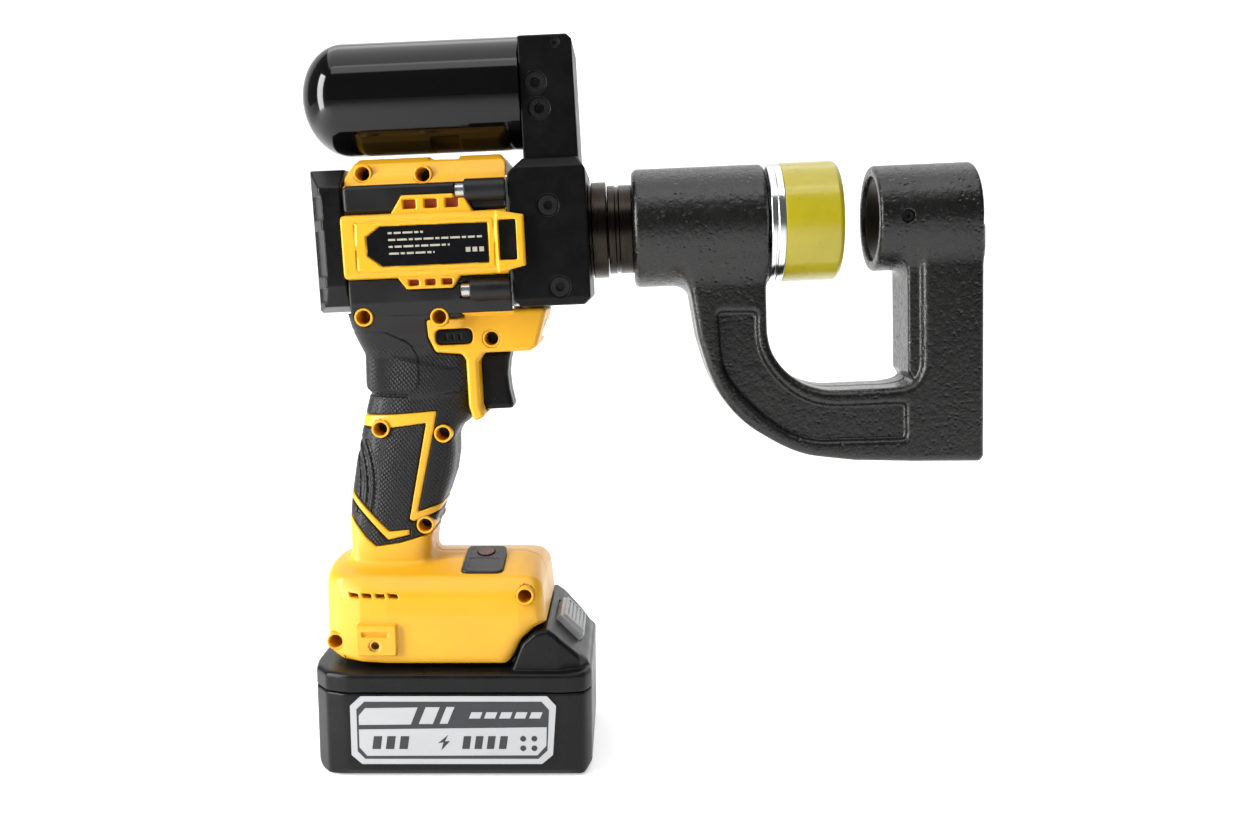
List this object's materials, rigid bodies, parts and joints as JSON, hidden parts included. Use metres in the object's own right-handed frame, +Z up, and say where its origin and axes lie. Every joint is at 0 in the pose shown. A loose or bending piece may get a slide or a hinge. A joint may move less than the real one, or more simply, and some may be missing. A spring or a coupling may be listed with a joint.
{
  "type": "cordless hydraulic c-frame cutter",
  "caption": "Cordless hydraulic cutter: pistol-grip body on a slide battery, oil tank and pump block on top, swivelling cast C-frame with ram, stripper and die.",
  "frame": {"origin": "centre of the battery's flat bottom face", "axes": "+X forward towards the C-frame, +Y left, +Z up; the ram axis is nose-up 2.4 degrees"},
  "size_m": [0.275, 0.0756, 0.2951],
  "materials": {
    "housing_yellow": "satin saturated yellow nylon, fine moulded grain",
    "grip_rubber": "soft-touch black rubber with stippled patches",
    "black_plastic": "black moulded nylon, light grain",
    "nameplate_film": null,
    "label_film": null,
    "lens_clear": "clear moulded lens",
    "panel_dark": "smooth dark overlay",
    "button_red": "dull red translucent button",
    "bright_steel": "bright machined steel",
    "gear_steel": "ground alloy steel",
    "spring_steel": "oiled spring wire",
    "blued_steel": "brown-black oxide steel, semi-gloss",
    "black_bolt": "black oxide screw",
    "block_black": "black anodised aluminium, satin",
    "motor_aluminium": "cast aluminium",
    "cast_black": "black painted casting, pitted orange-peel skin, worn at the edges",
    "tank_black": "high-gloss black tank",
    "seal_rubber": "nitrile rubber",
    "seal_blue": "blue polyurethane seal",
    "urethane_yellow": "olive-yellow urethane, slightly translucent",
    "latch_grey": "grey nylon",
    "board_green": "solder-masked board",
    "wire_red": "silicone insulation",
    "cell_wrap": "shrink-wrapped steel cell",
    "insert_brass": "knurled insert"
  },
  "bodies": {
    "tool_body": {"housing_right": "housing_yellow", "housing_left": "housing_yellow", "housing_screws": "black_bolt", "overmould_right": "grip_rubber", "overmould_left": "grip_rubber", "rear_cap": "black_plastic", "nameplate_right": "nameplate_film", "nameplate_left": "nameplate_film", "motor_stator": "gear_steel", "rotor_bearings": "bright_steel", "motor_plate": "motor_aluminium", "ring_gear": "gear_steel", "shaft_bearings": "bright_steel", "pump_plunger": "bright_steel", "plunger_spring": "spring_steel", "pump_block": "block_black", "block_bolts": "black_bolt", "port_plugs": "black_bolt", "block_gasket": "bright_steel", "case_screws": "bright_steel", "reservoir": "tank_black", "reservoir_bladder": "seal_rubber", "coupling_nipple": "blued_steel", "nipple_o_rings": "seal_rubber", "trigger_switch": "black_plastic", "trigger_spring": "spring_steel", "led_lens": "lens_clear", "control_panel": "panel_dark", "control_board": "board_green", "terminal_block": "black_plastic", "wiring": "wire_red", "belt_hook_nut": "insert_brass"},
    "motor": {"motor_rotor": "gear_steel", "cooling_fan": "black_plastic", "sun_gear": "gear_steel"},
    "carrier": {"eccentric_shaft": "gear_steel"},
    "planet_1": {"planet_gear_1": "gear_steel"},
    "planet_2": {"planet_gear_2": "gear_steel"},
    "planet_3": {"planet_gear_3": "gear_steel"},
    "head": {"coupling_collar": "blued_steel", "c_frame": "cast_black", "ram_return_spring": "spring_steel", "nose_ring": "bright_steel", "stripper_sleeve": "urethane_yellow", "die_ring": "gear_steel", "die_set_screw": "black_bolt"},
    "ram": {"ram_piston": "bright_steel", "ram_seal": "seal_blue", "cutting_punch": "bright_steel"},
    "trigger_body": {"trigger": "black_plastic"},
    "selector_body": {"selector_button": "black_plastic"},
    "mode_body": {"mode_button": "button_red"},
    "battery": {"battery_lower_case": "black_plastic", "battery_upper_case": "black_plastic", "battery_cells": "cell_wrap", "battery_board": "board_green", "battery_label_right": "label_film", "battery_label_left": "label_film", "latch_spring": "spring_steel"},
    "latch_body": {"latch_button": "latch_grey"}
  },
  "joints": [
    {"name": "head_swivel", "type": "hinge", "parent": "tool_body", "child": "head", "pos_m": [0.07993, 0, 0.21965], "axis": [0.9991, 0, 0.0419], "continuous": true},
    {"name": "ram_slide", "type": "slide", "parent": "head", "child": "ram", "axis": [0.9991, 0, 0.0419], "range_m": [0, 0.018], "stiffness_N_per_m": 2500, "springref_m": -0.006, "deforming": ["ram_return_spring"]},
    {"name": "trigger_pull", "type": "slide", "parent": "tool_body", "child": "trigger_body", "axis": [-0.9991, 0, -0.0419], "range_m": [0, 0.0065], "stiffness_N_per_m": 900, "springref_m": -0.003, "deforming": ["trigger_spring"]},
    {"name": "selector_push", "type": "slide", "parent": "tool_body", "child": "selector_body", "axis": [0, 1, 0], "range_m": [-0.0025, 0.0025]},
    {"name": "mode_press", "type": "slide", "parent": "tool_body", "child": "mode_body", "axis": [0, 0.2426, -0.9701], "range_m": [0, 0.0008], "stiffness_N_per_m": 800, "springref_m": -0.001},
    {"name": "battery_slide", "type": "slide", "parent": "tool_body", "child": "battery", "axis": [1, 0, 0], "range_m": [0, 0.085]},
    {"name": "latch_press", "type": "slide", "parent": "battery", "child": "latch_body", "axis": [-0.682, 0, -0.7314], "range_m": [0, 0.0035], "stiffness_N_per_m": 1200, "springref_m": -0.003, "deforming": ["latch_spring"]},
    {"name": "motor_spin", "type": "hinge", "parent": "tool_body", "child": "motor", "pos_m": [0, 0, 0.2163], "axis": [0.9991, 0, 0.0419], "continuous": true},
    {"name": "carrier_spin", "type": "hinge", "parent": "tool_body", "child": "carrier", "pos_m": [0.01399, 0, 0.21689], "axis": [0.9991, 0, 0.0419], "continuous": true},
    {"name": "planet_spin_1", "type": "hinge", "parent": "carrier", "child": "planet_1", "pos_m": [0.00654, 0, 0.22738], "axis": [0.9991, 0, 0.0419], "continuous": true},
    {"name": "planet_spin_2", "type": "hinge", "parent": "carrier", "child": "planet_2", "pos_m": [0.00722, -0.00935, 0.2112], "axis": [0.9991, 0, 0.0419], "continuous": true},
    {"name": "planet_spin_3", "type": "hinge", "parent": "carrier", "child": "planet_3", "pos_m": [0.00722, 0.00935, 0.2112], "axis": [0.9991, 0, 0.0419], "continuous": true}
  ],
  "couplings": [
    {"joint": "carrier_spin", "follows": "motor_spin", "ratio": 0.25},
    {"joint": "planet_spin_1", "follows": "motor_spin", "ratio": -0.75},
    {"joint": "planet_spin_2", "follows": "motor_spin", "ratio": -0.75},
    {"joint": "planet_spin_3", "follows": "motor_spin", "ratio": -0.75}
  ]
}
